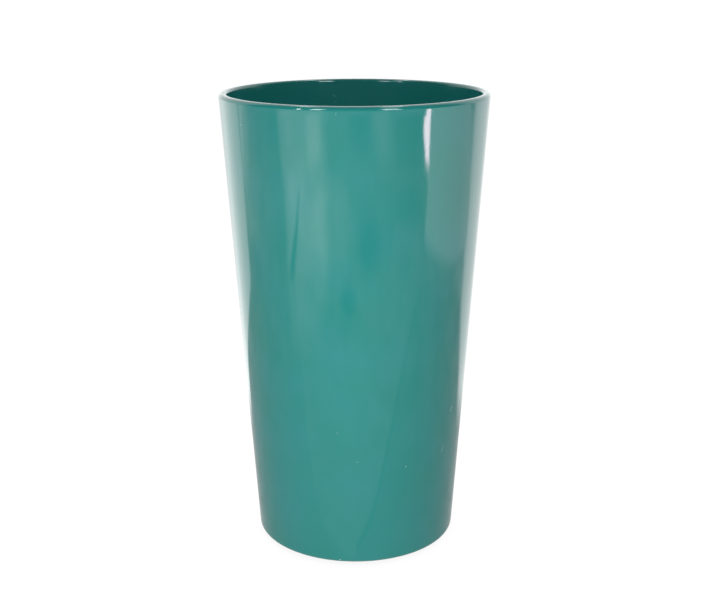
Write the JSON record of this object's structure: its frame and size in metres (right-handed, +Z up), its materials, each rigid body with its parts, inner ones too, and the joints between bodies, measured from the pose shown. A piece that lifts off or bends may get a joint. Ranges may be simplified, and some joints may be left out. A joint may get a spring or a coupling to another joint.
{
  "type": "florist bucket",
  "caption": "Tall tapered bucket, open at the top, with a plain rounded lip, a flat watertight floor and small non-slip pads under its base.",
  "frame": {"origin": "on the bucket's axis, in the plane that its pads stand on", "axes": "+Z up along the bucket's axis, from the base to the open top; the bucket looks the same from every side, so X and Y only place the pads, which sit halfway between them"},
  "size_m": [0.2306, 0.2306, 0.4],
  "materials": {
    "teal_gloss": "high gloss, sprayed and polished",
    "pad_rubber": "matt, moulded"
  },
  "bodies": {
    "root": {"bucket_shell": "teal_gloss", "foot_pad_1": "pad_rubber", "foot_pad_2": "pad_rubber", "foot_pad_3": "pad_rubber", "foot_pad_4": "pad_rubber"}
  },
  "joints": []
}
